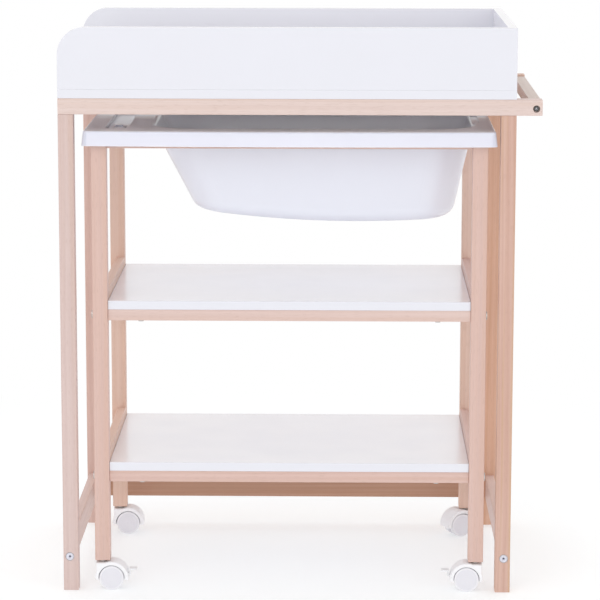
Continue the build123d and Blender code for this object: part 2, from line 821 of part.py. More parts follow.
with BuildPart() as bathtub:
    loft(sections=[rim_outline(skirt_bottom, 0), rim_outline(rim_top, -rim_draft)])
    fillet(bathtub.edges().group_by(Axis.Z)[-1], rim_ease)
    loft(sections=[rim_outline(skirt_bottom, -bath_wall),
                   rim_outline(rim_underside, -bath_wall - rim_draft)], mode=Mode.SUBTRACT)
    add(bowl(0))
    seam = bathtub.edges().filter_by_position(Axis.Z, rim_underside - nudge, rim_underside + nudge)
    fillet(around_mouth(seam), mouth_seam_radius)
    with BuildSketch(below_rim(dish_x, dish_depth + bath_wall)):
        RectangleRounded(dish_width + 2 * bath_wall, dish_length + 2 * bath_wall,
                         dish_corner_radius + bath_wall)
    extrude(amount=dish_depth)
    add(bowl(bath_wall), mode=Mode.SUBTRACT)
    fillet(around_mouth(bathtub.edges().group_by(Axis.Z)[-1]), mouth_ease)
    with BuildSketch(below_rim(mouth_right - bath_wall, spout_depth)) as spout:
        Rectangle(mouth_ease + spout_reach, spout_width, align=(Align.MIN, Align.CENTER))
        fillet(spout.vertices().group_by(Axis.X)[-1], spout_corner_radius)
    extrude(amount=spout_depth + overrun, mode=Mode.SUBTRACT)
    with BuildSketch(below_rim(dish_x, dish_depth)):
        RectangleRounded(dish_width, dish_length, dish_corner_radius)
    extrude(amount=dish_depth + overrun, mode=Mode.SUBTRACT)
    dish_edge = bathtub.edges().group_by(Axis.Z)[-1].filter_by_position(
        Axis.X, dish_x - dish_width, dish_x + dish_width)
    fillet(dish_edge, dish_ease)
    pad_y = dish_pad_place_share * dish_length
    with BuildSketch(below_rim(dish_x, dish_depth + nudge)):
        with Locations((0, pad_y)):
            Rectangle(dish_pad_width, dish_pad_length)
    extrude(amount=dish_pad_height + nudge)
    with BuildSketch(below_rim(dish_x, dish_depth - dish_pad_height)):
        with Locations((0, pad_y)):
            Rectangle(dish_pad_width - 2 * dish_pad_border, dish_pad_length - 2 * dish_pad_border)
    extrude(amount=-dish_well_depth, mode=Mode.SUBTRACT)
    with BuildSketch(below_rim(drain_x, seat_depth)):
        Circle(drain_seat_radius)
    extrude(amount=overrun, mode=Mode.SUBTRACT)
    with BuildSketch(below_rim(drain_x, seat_depth)):
        Circle(drain_radius)
    extrude(amount=-bath_wall - overrun, mode=Mode.SUBTRACT)
finish("bathtub", bathtub.part)

# Drain plug: a stopper in the drain hole, a flange on the floor of the bowl and a knob to pull

with BuildPart() as drain_plug:
    with BuildSketch(below_rim(drain_x, bowl_depth)):
        Circle(plug_radius)
    extrude(amount=bowl_depth - seat_depth)
    with BuildSketch(below_rim(drain_x, seat_depth)):
        Circle(plug_flange_radius)
    extrude(amount=plug_flange_thickness)
    with BuildSketch(below_rim(drain_x, seat_depth - plug_flange_thickness)):
        Circle(plug_knob_radius)
    extrude(amount=plug_knob_height)
    fillet(drain_plug.edges().group_by(Axis.Z)[-1], plug_ease)
finish("drain_plug", drain_plug.part)
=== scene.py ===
import json
from math import cos, pi, radians, sin
import bpy
from mathutils import Matrix, Vector


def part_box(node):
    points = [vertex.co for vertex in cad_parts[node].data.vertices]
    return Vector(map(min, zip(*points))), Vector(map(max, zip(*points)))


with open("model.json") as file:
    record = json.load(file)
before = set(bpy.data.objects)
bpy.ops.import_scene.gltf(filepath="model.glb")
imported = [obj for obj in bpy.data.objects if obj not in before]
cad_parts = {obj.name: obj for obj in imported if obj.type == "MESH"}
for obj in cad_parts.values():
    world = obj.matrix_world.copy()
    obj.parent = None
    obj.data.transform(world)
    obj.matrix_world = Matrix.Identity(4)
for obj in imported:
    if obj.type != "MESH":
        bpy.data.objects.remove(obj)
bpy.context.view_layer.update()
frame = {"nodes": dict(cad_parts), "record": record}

# Sizes here are metres, and places are in the frame of the object: +Z up, the front towards -Y.
MM = 0.001

# Camera

camera_place = Vector((66.06, -4755.7, 1295.0)) * MM
camera_lens = 165.207
camera_film = 36.0
camera_yaw = -0.0144
camera_pitch = 0.1734        # downwards
camera_roll = 0.0016

# Light. A lamp has its place, the point that it looks at, its width, its height and its watts.

lamps = {
    "key": ((-1.3, -2.6, 2.5), (0.0, 0.0, 0.45), 2.0, 1.6, 13.0),
    "fill": ((2.1, -2.2, 1.3), (0.0, 0.0, 0.45), 1.6, 1.8, 5.0),
    "front": ((-0.1, -3.4, 1.14), (0.0, 0.0, 0.77), 2.4, 0.26, 10.5),
}
sky_front = 0.68             # light of the sky in front of the object
sky_back = 1.08              # and behind it, as from a lit backdrop
sky_change = 0.6             # how far to the front and to the back the sky keeps changing
floor_radius = 2.6
floor_sides = 96
floor_clear_radius = 0.62    # inside it the floor shows its own shade
floor_white_radius = 1.5     # beyond it the floor is plain white
floor_colour = (0.77, 0.79, 0.795, 1)
floor_glow = 0.315
plain_white = (1, 1, 1, 1)


def point_camera():
    """The camera stands in front of the object and looks a little down on it."""
    ahead = Vector((sin(camera_yaw) * cos(camera_pitch), cos(camera_yaw) * cos(camera_pitch),
                    -sin(camera_pitch)))
    right = Vector((cos(camera_yaw), -sin(camera_yaw), 0))
    up = right.cross(ahead)
    across = right * cos(camera_roll) + up * sin(camera_roll)
    above = up * cos(camera_roll) - right * sin(camera_roll)
    data = bpy.data.cameras.new("camera")
    data.lens = camera_lens
    data.sensor_width = camera_film
    camera = bpy.data.objects.new("camera", data)
    turn = Matrix((across, above, -ahead)).transposed().to_4x4()
    camera.matrix_world = Matrix.Translation(camera_place) @ turn
    bpy.context.collection.objects.link(camera)
    bpy.context.scene.camera = camera


def softbox(name, place, aim, width, height, power):
    """A large soft lamp at a place, turned towards a point."""
    data = bpy.data.lights.new(name, "AREA")
    data.shape = "RECTANGLE"
    data.size = width
    data.size_y = height
    data.energy = power
    lamp = bpy.data.objects.new(name, data)
    lamp.location = place
    lamp.rotation_euler = (Vector(aim) - Vector(place)).to_track_quat("-Z", "Y").to_euler()
    bpy.context.collection.objects.link(lamp)


# Building blocks for node trees

noise_low = 0.3              # most of any noise lies between these two
noise_high = 0.7


def put(tree, kind, inputs=None, **settings):
    """A node with its settings. An input is a plain value or the output of another node."""
    node = tree.nodes.new("ShaderNode" + kind)
    for key, value in settings.items():
        setattr(node, key, value)
    for key, value in (inputs or {}).items():
        if isinstance(value, bpy.types.NodeSocket):
            tree.links.new(value, node.inputs[key])
        else:
            node.inputs[key].default_value = value
    return node


def maths(tree, operation, first, second=0.0, clamp=False):
    node = put(tree, "Math", {0: first, 1: second}, operation=operation, use_clamp=clamp)
    return node.outputs[0]


def times(tree, first, second):
    return maths(tree, "MULTIPLY", first, second)


def vector_maths(tree, operation, first, second=(0, 0, 0), output=0):
    node = put(tree, "VectorMath", {0: first, 1: second}, operation=operation)
    return node.outputs[output]


def length(tree, vector):
    return vector_maths(tree, "LENGTH", vector, output="Value")


def stretch(tree, vector, factors):
    return vector_maths(tree, "MULTIPLY", vector, factors)


def along_axis(tree, vector, axis="Z"):
    """One of the three numbers of a vector."""
    return put(tree, "SeparateXYZ", {0: vector}).outputs[axis]


def noise(tree, vector, scale=1.0, detail=2.0, roughness=0.5):
    """Soft noise. The scale is its features per metre, where the place isn't stretched.

    The detail is how many finer layers it has, and the roughness how strong each of them is."""
    return put(tree, "TexNoise", {"Vector": vector, "Scale": scale, "Detail": detail,
                                  "Roughness": roughness}).outputs[0]


def ramp(tree, value, low, high, to_low=0.0, to_high=1.0):
    """A value carried from one range to another, without running past its ends."""
    return put(tree, "MapRange", {0: value, 1: low, 2: high, 3: to_low, 4: to_high}).outputs[0]


def spread(tree, value, to_low, to_high):
    """A noise carried to a range: its middle part, where it nearly always lies, fills it."""
    return ramp(tree, value, noise_low, noise_high, to_low, to_high)


def blend(tree, factor, first, second):
    """Two colours mixed by a factor."""
    return put(tree, "Mix", {0: factor, 6: first, 7: second}, data_type="RGBA").outputs[2]


def new_group(name, inputs, outputs):
    """An empty group of nodes with its named inputs and outputs."""
    tree = bpy.data.node_groups.new(name, "ShaderNodeTree")
    for label, kind, value in inputs:
        socket = tree.interface.new_socket(label, in_out="INPUT", socket_type="NodeSocket" + kind)
        socket.default_value = value
    for label, kind in outputs:
        tree.interface.new_socket(label, in_out="OUTPUT", socket_type="NodeSocket" + kind)
    return tree, tree.nodes.new("NodeGroupInput").outputs, tree.nodes.new("NodeGroupOutput").inputs


def use(tree, group, inputs):
    """The outputs of a group placed in a material with its own values."""
    return put(tree, "Group", inputs, node_tree=group).outputs


# Effects that several materials share

edge_samples = 6
edge_from = 0.995            # how well the rounded and the true normal agree where an edge begins
edge_full = 0.86             # and where it is whole
edge_grit = (0.35, 0.62)     # the noise from which the mask is broken, and from which it is whole


# The edge mask marks worn edges on the wood, the boards and the small plastics, and a painted
# highlight on the bath's edges.
def make_edge_wear_and_highlight():
    """Where an edge is: the rounded normal leaves the true one. Noise breaks the mask up."""
    tree, given, result = new_group(
        "edge_wear_and_highlight", [("Place", "Vector", (0, 0, 0)), ("Width", "Float", 0.0),
                      ("Breakup", "Float", 0.0)], [("Mask", "Float")])
    rounded = put(tree, "Bevel", {"Radius": given["Width"]}, samples=edge_samples).outputs[0]
    true = put(tree, "NewGeometry").outputs["Normal"]
    agreement = vector_maths(tree, "DOT_PRODUCT", rounded, true, "Value")
    edge = ramp(tree, agreement, edge_from, edge_full)
    grit = ramp(tree, noise(tree, given["Place"], given["Breakup"], detail=3.0), *edge_grit)
    tree.links.new(times(tree, edge, grit), result["Mask"])
    return tree


# Planed beech. Rates are features per metre along X, Y and Z, and the grain runs along Z.

seed_steps = (0.37, 0.71, 1.3)   # how far the place moves along X, Y and Z for each seed
pith_distance = 70 * MM          # from the middle of a piece to the pith of its tree
pith_turn = 5.0                  # the pith goes round by so many radians per seed
pith_wander = 6 * MM
pith_lean = 0.006                # how little the rings change along the grain
wander_rates = (7.0, 7.0, 1.6)
wander_range = (0.2, 0.8)
band_rate = 210.0
band_range = (0.32, 0.68)
ring_rate = 520.0
late_wood_start = 0.72           # the share of a ring before its dark late wood
streak_rates = (150.0, 150.0, 2.4)
fibre_rates = (1100.0, 1100.0, 14.0)
tone_rates = (16.0, 16.0, 3.2)
flush_rates = (95.0, 95.0, 1.1)
flush_range = (0.48, 0.66)
fleck_rates = (800.0, 800.0, 70.0)
fleck_range = (0.62, 0.74)
pore_rate = 1500.0
pore_range = (0.5, 0.7)
pore_shares = (0.1, 0.45)
band_depth = 0.42
streak_depth = 0.30
tone_depths = (-0.06, 0.30)
fibre_depths = (-0.05, 0.08)
flush_share = 0.55
ring_share = 0.07
fleck_share = 0.11
beech_roughness = (0.44, 0.58)
fleck_relief = 0.6               # of the height of the fibres
ring_relief = 0.25


def make_beech():
    """Growth bands round a distant pith, fibres, and the short dark flecks of the rays."""
    tree, given, result = new_group(
        "planed_beech",
        [("Place", "Vector", (0, 0, 0)), ("Seed", "Float", 0.0), ("Light", "Color", plain_white),
         ("Dark", "Color", plain_white), ("Flush", "Color", plain_white),
         ("Fleck", "Color", plain_white), ("End", "Float", 0.0)],
        [("Color", "Color"), ("Roughness", "Float"), ("Height", "Float")])
    seed = given["Seed"]
    shift = put(tree, "CombineXYZ", {number: times(tree, seed, step)
                                     for number, step in enumerate(seed_steps)}).outputs[0]
    place = vector_maths(tree, "ADD", given["Place"], shift)
    wander = noise(tree, stretch(tree, place, wander_rates), detail=1.0)
    wander = ramp(tree, wander, *wander_range, -pith_wander, pith_wander)
    turn = times(tree, seed, pith_turn)
    sideways = times(tree, maths(tree, "SINE", turn), pith_distance)
    pith = put(tree, "CombineXYZ", {0: maths(tree, "ADD", sideways, wander),
                                    1: times(tree, maths(tree, "COSINE", turn), pith_distance)})
    across = stretch(tree, given["Place"], (1.0, 1.0, pith_lean))
    radius = length(tree, vector_maths(tree, "ADD", across, pith.outputs[0]))
    bands = put(tree, "TexNoise", {"W": times(tree, radius, band_rate), "Scale": 1.0,
                                   "Detail": 3.0, "Roughness": 0.6},
                noise_dimensions="1D").outputs[0]
    ring = maths(tree, "FRACT", times(tree, radius, ring_rate))
    ring = ramp(tree, ring, late_wood_start, 1.0)
    streak = noise(tree, stretch(tree, place, streak_rates), detail=3.0)
    fibre = noise(tree, stretch(tree, place, fibre_rates))
    tone = noise(tree, stretch(tree, place, tone_rates))
    flush = ramp(tree, noise(tree, stretch(tree, place, flush_rates)), *flush_range)
    fleck = noise(tree, stretch(tree, place, fleck_rates), detail=0.0)
    fleck = ramp(tree, fleck, *fleck_range)
    depth = maths(tree, "ADD", ramp(tree, bands, *band_range, 0.0, band_depth),
                  spread(tree, streak, 0.0, streak_depth))
    depth = maths(tree, "ADD", depth, spread(tree, tone, *tone_depths))
    depth = maths(tree, "ADD", depth, spread(tree, fibre, *fibre_depths), clamp=True)
    colour = blend(tree, depth, given["Light"], given["Dark"])
    colour = blend(tree, times(tree, flush, flush_share), colour, given["Flush"])
    colour = blend(tree, times(tree, ring, ring_share), colour, given["Fleck"])
    colour = blend(tree, times(tree, fleck, fleck_share), colour, given["Fleck"])
    pores = ramp(tree, noise(tree, place, pore_rate, detail=1.0), *pore_range, *pore_shares)
    colour = blend(tree, times(tree, pores, given["End"]), colour, given["Fleck"])
    grain = maths(tree, "SUBTRACT", fibre, times(tree, fleck, fleck_relief))
    grain = maths(tree, "ADD", grain, times(tree, ring, ring_relief))
    tree.links.new(colour, result["Color"])
    tree.links.new(spread(tree, fibre, *beech_roughness), result["Roughness"])
    tree.links.new(grain, result["Height"])
    return tree


# White laminate

pebble_rate = 1700.0
patch_rate = 9.0
wipe_rates = (3.0, 6.0, 6.0)
smear_range = (0.4, 0.75)
smear_share = 0.3
laminate_roughness = (0.16, 0.20)


def make_coating():
    """The skin of a laminated board: faint pebbles, slow changes of tone, and wiped patches."""
    tree, given, result = new_group(
        "board_coating", [("Place", "Vector", (0, 0, 0)), ("Color", "Color", plain_white),
                          ("Smear", "Color", plain_white)],
        [("Color", "Color"), ("Roughness", "Float"), ("Height", "Float")])
    patches = noise(tree, given["Place"], patch_rate, detail=3.0)
    smear = ramp(tree, patches, *smear_range, 0.0, smear_share)
    wiped = noise(tree, stretch(tree, given["Place"], wipe_rates))
    tree.links.new(blend(tree, smear, given["Color"], given["Smear"]), result["Color"])
    tree.links.new(spread(tree, wiped, *laminate_roughness), result["Roughness"])
    tree.links.new(noise(tree, given["Place"], pebble_rate), result["Height"])
    return tree


# Moulded plastic

ripple_rate = 26.0
texture_rate = 900.0
texture_relief = 0.05            # of the height of the ripple
dust_rate = 60.0
dust_range = (0.35, 0.7)
dust_slopes = (0.3, 0.95)        # how much a face looks up where dust begins, and where it is whole
dust_colour = (0.6, 0.57, 0.53, 1)
dust_roughness = 0.4
gloss_rate = 14.0


def make_plastic():
    """Moulded plastic: a slow ripple and a fine texture, with a little dust where it faces up."""
    tree, given, result = new_group(
        "moulded_plastic", [("Place", "Vector", (0, 0, 0)), ("Facing", "Vector", (0, 0, 1)),
                            ("Color", "Color", plain_white), ("Dust", "Color", dust_colour),
                            ("Dusting", "Float", 0.0), ("Low", "Float", 0.0), ("High", "Float", 0.0)],
        [("Color", "Color"), ("Roughness", "Float"), ("Height", "Float")])
    ripple = noise(tree, given["Place"], ripple_rate, detail=1.0)
    texture = noise(tree, given["Place"], texture_rate)
    upward = along_axis(tree, given["Facing"])
    settled = times(tree, ramp(tree, upward, *dust_slopes), given["Dusting"])
    specks = ramp(tree, noise(tree, given["Place"], dust_rate, detail=4.0), *dust_range)
    settled = times(tree, settled, specks)
    tree.links.new(blend(tree, settled, given["Color"], given["Dust"]), result["Color"])
    gloss = noise(tree, given["Place"], gloss_rate, detail=4.0, roughness=0.6)
    rough = spread(tree, gloss, given["Low"], given["High"])
    rough = maths(tree, "ADD", rough, times(tree, settled, dust_roughness))
    tree.links.new(rough, result["Roughness"])
    tree.links.new(maths(tree, "ADD", ripple, times(tree, texture, texture_relief)), result["Height"])
    return tree


# Zinc plate

cloud_rate = 420.0
rub_rates = (300.0, 4200.0, 900.0)
tarnish_range = (0.35, 0.7)
tarnish_share = 0.55
zinc_roughness = (0.26, 0.44)
zinc_relief = 0.01 * MM


def make_zinc():
    """Zinc plate: small cloudy crystals and fine rubbed lines."""
    tree, given, result = new_group(
        "zinc_plate", [("Place", "Vector", (0, 0, 0)), ("Color", "Color", plain_white),
                       ("Tarnish", "Color", plain_white)],
        [("Color", "Color"), ("Roughness", "Float"), ("Height", "Float")])
    clouds = noise(tree, given["Place"], cloud_rate, detail=4.0, roughness=0.7)
    shade = ramp(tree, clouds, *tarnish_range, 0.0, tarnish_share)
    rubbed = noise(tree, stretch(tree, given["Place"], rub_rates))
    tree.links.new(blend(tree, shade, given["Color"], given["Tarnish"]), result["Color"])
    tree.links.new(spread(tree, clouds, *zinc_roughness), result["Roughness"])
    tree.links.new(rubbed, result["Height"])
    return tree


edge_wear_and_highlight = make_edge_wear_and_highlight()
beech_grain = make_beech()
board_coating = make_coating()
plastic_skin = make_plastic()
zinc_plate = make_zinc()


def new_material(name):
    """An empty material with its shader. Its coordinates are those of the object at rest."""
    material = bpy.data.materials.new(name)
    material.use_nodes = True
    tree = material.node_tree
    tree.nodes.clear()
    shader = tree.nodes.new("ShaderNodeBsdfPrincipled")
    output = tree.nodes.new("ShaderNodeOutputMaterial")
    tree.links.new(shader.outputs[0], output.inputs["Surface"])
    coordinates = tree.nodes.new("ShaderNodeTexCoord").outputs
    return material, tree, shader, coordinates


def relief(tree, shader, height, distance):
    """The fine relief of a surface, as a bump."""
    bump = put(tree, "Bump", {"Height": height, "Distance": distance})
    tree.links.new(bump.outputs[0], shader.inputs["Normal"])


def fill(tree, shader, colour, roughness):
    tree.links.new(colour, shader.inputs["Base Color"])
    tree.links.new(roughness, shader.inputs["Roughness"])


# Wood. Each piece is cut from its own place in the board, and its grain runs along its length.

grain_turns = {"X": (0, -pi / 2, 0), "Y": (pi / 2, 0, 0), "Z": (0, 0, 0)}
beech_tones = {              # light wood, dark wood, and the warmer streaks in it
    "pale": ((0.80, 0.655, 0.61, 1), (0.72, 0.56, 0.51, 1), (0.74, 0.56, 0.48, 1)),
    "cream": ((0.725, 0.57, 0.535, 1), (0.645, 0.48, 0.445, 1), (0.665, 0.48, 0.41, 1)),
    "soft": ((0.775, 0.595, 0.545, 1), (0.695, 0.51, 0.455, 1), (0.715, 0.505, 0.425, 1)),
    "rosy": ((0.745, 0.535, 0.48, 1), (0.665, 0.45, 0.39, 1), (0.685, 0.45, 0.36, 1)),
    "honey": ((0.82, 0.60, 0.505, 1), (0.74, 0.505, 0.40, 1), (0.75, 0.485, 0.36, 1)),
    "amber": ((0.72, 0.49, 0.415, 1), (0.59, 0.345, 0.265, 1), (0.63, 0.40, 0.235, 1)),
    "ash": ((0.74, 0.625, 0.555, 1), (0.66, 0.53, 0.455, 1), (0.64, 0.48, 0.385, 1)),
    "warm": ((0.775, 0.50, 0.375, 1), (0.685, 0.40, 0.27, 1), (0.695, 0.375, 0.23, 1)),
    # the back stretcher's tone: its own warm wood, darkened further by painted shade, as it stands in
    # shadow at the back
    "tan_in_painted_shade": ((0.565, 0.335, 0.235, 1), (0.465, 0.25, 0.16, 1), (0.465, 0.235, 0.135, 1)),
}
beech_fleck = (0.36, 0.20, 0.13, 1)
wood_edge_width = 1.6 * MM
wood_edge_breakup = 90.0
wood_edge_share = 0.35
wood_relief = 0.09 * MM
lacquer_weight = 0.12
lacquer_roughness = 0.35
end_grain_from = 0.75        # how squarely a face has to look along the grain to show its pores
end_grain_full = 0.95
seed_cycle = 97
seed_scale = 9.7


def box_of(node):
    """The lowest and the highest corner of a piece."""
    low, high = (Vector(corner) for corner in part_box(node))
    return low, high


def seed_of(node):
    """A number of its own for each piece, made from its name."""
    total = sum(ord(letter) * (number + 1) for number, letter in enumerate(node))
    return total % seed_cycle / seed_scale


def wood(node, tone):
    """The beech of one piece."""
    low, high = box_of(node)
    size = high - low
    axis = "XYZ"[max(range(3), key=lambda number: size[number])]
    turn = grain_turns[axis]
    turned = Matrix.Rotation(turn[0], 3, "X") @ Matrix.Rotation(turn[1], 3, "Y")
    light, dark, flush = beech_tones[tone]
    material, tree, shader, coordinates = new_material(f"beech_{node}")
    place = put(tree, "Mapping", {"Vector": coordinates["Object"], "Rotation": turn,
                                  "Location": -(turned @ ((low + high) / 2))}).outputs[0]
    ends = maths(tree, "ABSOLUTE", along_axis(tree, coordinates["Normal"], axis))
    ends = ramp(tree, ends, end_grain_from, end_grain_full)
    grain = use(tree, beech_grain, {"Place": place, "Seed": seed_of(node), "Light": light,
                                    "Dark": dark, "Flush": flush, "Fleck": beech_fleck, "End": ends})
    wear_and_highlight_mask = use(tree, edge_wear_and_highlight, {"Place": place, "Width": wood_edge_width,
                                 "Breakup": wood_edge_breakup})["Mask"]
    colour = blend(tree, times(tree, wear_and_highlight_mask, wood_edge_share), grain["Color"], light)
    fill(tree, shader, colour, grain["Roughness"])
    relief(tree, shader, grain["Height"], wood_relief)
    shader.inputs["Coat Weight"].default_value = lacquer_weight
    shader.inputs["Coat Roughness"].default_value = lacquer_roughness
    return material


# White boards

board_colour = (0.82, 0.82, 0.88, 1)
# the boards' top faces are painted paler: painted light
board_top_painted_light = (0.925, 0.91, 0.93, 1)
board_smear = (0.80, 0.80, 0.85, 1)
board_edge_colour = (0.86, 0.86, 0.90, 1)
board_edge_width = 1.2 * MM
board_edge_breakup = 60.0
board_edge_share = 0.3
board_relief = 0.02 * MM
board_top_slopes = (0.5, 0.9)    # how much a face looks up where the painted light on top begins


def coated_board():
    """White boards, painted paler and a little warmer on top: painted light on their upward faces."""
    material, tree, shader, coordinates = new_material("white_board")
    place = coordinates["Object"]
    upward = along_axis(tree, coordinates["Normal"])
    tint = blend(tree, ramp(tree, upward, *board_top_slopes), board_colour, board_top_painted_light)
    skin = use(tree, board_coating, {"Place": place, "Color": tint, "Smear": board_smear})
    wear_and_highlight_mask = use(tree, edge_wear_and_highlight, {"Place": place, "Width": board_edge_width,
                                 "Breakup": board_edge_breakup})["Mask"]
    colour = blend(tree, times(tree, wear_and_highlight_mask, board_edge_share), skin["Color"], board_edge_colour)
    fill(tree, shader, colour, skin["Roughness"])
    relief(tree, shader, skin["Height"], board_relief)
    return material


# Plastics

# the paler colour of plastic edges: wear on the castors, pedals and plug, and a painted highlight on
# the bath
plastic_edge_colour = (0.95, 0.95, 0.97, 1)
plastic_edge_width = 1.0 * MM
plastic_edge_breakup = 40.0
plastic_edge_share = 0.6

bath_outer_colour = (0.87, 0.885, 1.0, 1)
# the side faces of the rim are painted darker: painted shade, as they stand nearest to the lamps
bath_skirt_painted_shade = (0.69, 0.70, 0.815, 1)
# the bowl's inner faces are painted paler: painted light in the shaded bowl
bath_inner_painted_light = (0.935, 0.925, 0.98, 1)
bath_aim_rise = 120 * MM     # the bowl's inner faces look to a point this far over the rim
bath_aim_change = 0.01
rim_skirt_height = 25 * MM
rim_skirt_change = 1 * MM
# the bath's edges are painted paler: a painted highlight, as glossy rounded edges catch the light
bath_highlight_width = 2.5 * MM
bath_highlight_breakup = 15.0
bath_painted_highlight_share = 0.6
bath_dusting = 0.03
bath_roughness = (0.30, 0.40)
bath_relief = 0.25 * MM
bath_coat_weight = 0.45
bath_coat_roughness = 0.05
bath_translucence = 0.28
bath_depth = 14 * MM         # how far light spreads in its wall

hub_colour = (0.82, 0.81, 0.86, 1)
tread_colour = (0.88, 0.87, 0.905, 1)
wheel_hub_radius = 17.4 * MM
wheel_hub_change = 0.4 * MM
wheel_groove_spacing = 5.6 * MM
wheel_groove_from = 0.75
wheel_dusting = 0.1
wheel_roughness = (0.38, 0.52)
wheel_relief = 0.12 * MM
castor_headings = {"front_left": 0.0, "front_right": 180.0, "back_left": 0.0, "back_right": 206.0}


def plastic(name, colour, dusting, low, high, ripple):
    """A moulded plastic, paler where it is rubbed along its edges."""
    material, tree, shader, coordinates = new_material(name)
    place = coordinates["Object"]
    skin = use(tree, plastic_skin, {"Place": place, "Facing": coordinates["Normal"],
                                    "Color": colour, "Dusting": dusting, "Low": low, "High": high})
    wear_and_highlight_mask = use(tree, edge_wear_and_highlight, {"Place": place, "Width": plastic_edge_width,
                                 "Breakup": plastic_edge_breakup})["Mask"]
    paler = blend(tree, times(tree, wear_and_highlight_mask, plastic_edge_share), skin["Color"], plastic_edge_colour)
    fill(tree, shader, paler, skin["Roughness"])
    relief(tree, shader, skin["Height"], ripple)
    return material


def bath_moulding(name, node):
    """The bath: glossy, a little translucent, and painted palest on the faces that look up into the
    bowl: painted light.

    The side faces of its rim, which stand nearest to the lamps, are painted a little darker: painted
    shade."""
    material, tree, shader, coordinates = new_material(name)
    place = coordinates["Object"]
    low, high = box_of(node)
    above = Vector(((low.x + high.x) / 2, (low.y + high.y) / 2, high.z + bath_aim_rise))
    aim = vector_maths(tree, "SUBTRACT", above, place)
    aim = vector_maths(tree, "DOT_PRODUCT", aim, coordinates["Normal"], "Value")
    # faces that look into the bowl get the paler colour: painted light
    inner_painted_light = ramp(tree, aim, -bath_aim_change, bath_aim_change)
    skirt_foot = high.z - rim_skirt_height
    # the rim's side faces are painted darker: painted shade
    skirt_shade_mask = ramp(tree, along_axis(tree, place), skirt_foot - rim_skirt_change, skirt_foot)
    outer = blend(tree, skirt_shade_mask, bath_outer_colour, bath_skirt_painted_shade)
    colour = blend(tree, inner_painted_light, outer, bath_inner_painted_light)
    smooth, rough = bath_roughness
    skin = use(tree, plastic_skin, {"Place": place, "Facing": coordinates["Normal"], "Color": colour,
                                    "Dusting": bath_dusting, "Low": smooth, "High": rough})
    # the bath's edges are painted paler: a painted highlight
    wear_and_highlight_mask = use(tree, edge_wear_and_highlight, {"Place": place, "Width": bath_highlight_width,
                                 "Breakup": bath_highlight_breakup})["Mask"]
    paler = blend(tree, times(tree, wear_and_highlight_mask, bath_painted_highlight_share), skin["Color"], plastic_edge_colour)
    fill(tree, shader, paler, skin["Roughness"])
    relief(tree, shader, skin["Height"], bath_relief)
    shader.inputs["Coat Weight"].default_value = bath_coat_weight
    shader.inputs["Coat Roughness"].default_value = bath_coat_roughness
    shader.inputs["Subsurface Weight"].default_value = bath_translucence
    shader.inputs["Subsurface Radius"].default_value = (1.0, 1.0, 1.0)
    shader.inputs["Subsurface Scale"].default_value = bath_depth
    return material


def wheel(node, corner):
    """The twin wheels of a castor: a ribbed hub in the dish and a paler tread round it."""
    material, tree, shader, coordinates = new_material(f"wheel_{node}")
    low, high = box_of(node)
    about = vector_maths(tree, "SUBTRACT", coordinates["Object"], (low + high) / 2)
    turned = put(tree, "VectorRotate", {"Vector": about, "Angle": -radians(castor_headings[corner])},
                 rotation_type="Z_AXIS").outputs[0]
    radius = length(tree, stretch(tree, turned, (1, 0, 1)))
    tread = ramp(tree, radius, wheel_hub_radius, wheel_hub_radius + wheel_hub_change)
    smooth, rough = wheel_roughness
    skin = use(tree, plastic_skin, {"Place": coordinates["Object"], "Facing": coordinates["Normal"],
                                    "Color": blend(tree, tread, hub_colour, tread_colour),
                                    "Dusting": wheel_dusting, "Low": smooth, "High": rough})
    grooves = maths(tree, "SINE", times(tree, radius, 2 * pi / wheel_groove_spacing))
    grooves = ramp(tree, grooves, wheel_groove_from, 1.0)
    grooves = times(tree, grooves, maths(tree, "SUBTRACT", 1.0, tread))
    fill(tree, shader, skin["Color"], skin["Roughness"])
    relief(tree, shader, maths(tree, "SUBTRACT", skin["Height"], grooves), wheel_relief)
    return material


# Plated steel

bolt_middle_change = 0.3 * MM
# the rim of a bolt head is painted towards the tarnish colour: painted shade of the gap round the
# head
bolt_rim_width = 1.6 * MM
bolt_rim_dark_width = 0.4 * MM
bolt_rim_shade_share = 0.6
bolt_metallic = 0.6


def turned_zinc(name, node, colour, tarnish, middle_colour, middle_radius, head_radius):
    """Plated bolts that lie along Y. The rim of each head is painted darker, a painted shade of the
    gap round it, and the middle of each head has another colour than its face.
    """
    material, tree, shader, coordinates = new_material(name)
    low, high = box_of(node)
    about = vector_maths(tree, "SUBTRACT", coordinates["Object"], (low + high) / 2)
    about = vector_maths(tree, "ABSOLUTE", about)
    apart = ((high.x - low.x) / 2 - head_radius, 0, 0)
    about = vector_maths(tree, "SUBTRACT", about, apart)
    radius = length(tree, stretch(tree, about, (1, 0, 1)))
    skin = use(tree, zinc_plate, {"Place": coordinates["Object"], "Color": colour,
                                  "Tarnish": tarnish})
    rim = ramp(tree, radius, head_radius - bolt_rim_width, head_radius - bolt_rim_dark_width,
               0.0, bolt_rim_shade_share)
    # the rim is painted in the tarnish colour: painted shade of the gap round the head
    face = blend(tree, rim, skin["Color"], tarnish)
    middle = ramp(tree, radius, middle_radius + bolt_middle_change, middle_radius)
    fill(tree, shader, blend(tree, middle, face, middle_colour), skin["Roughness"])
    relief(tree, shader, skin["Height"], zinc_relief)
    shader.inputs["Metallic"].default_value = bolt_metallic
    return material


def zinc(name, colour, tarnish):
    """Plated steel that is out of sight or seen only as a small rounded head."""
    material, tree, shader, coordinates = new_material(name)
    skin = use(tree, zinc_plate, {"Place": coordinates["Object"], "Color": colour,
                                  "Tarnish": tarnish})
    fill(tree, shader, skin["Color"], skin["Roughness"])
    relief(tree, shader, skin["Height"], zinc_relief)
    shader.inputs["Metallic"].default_value = 1.0
    return material


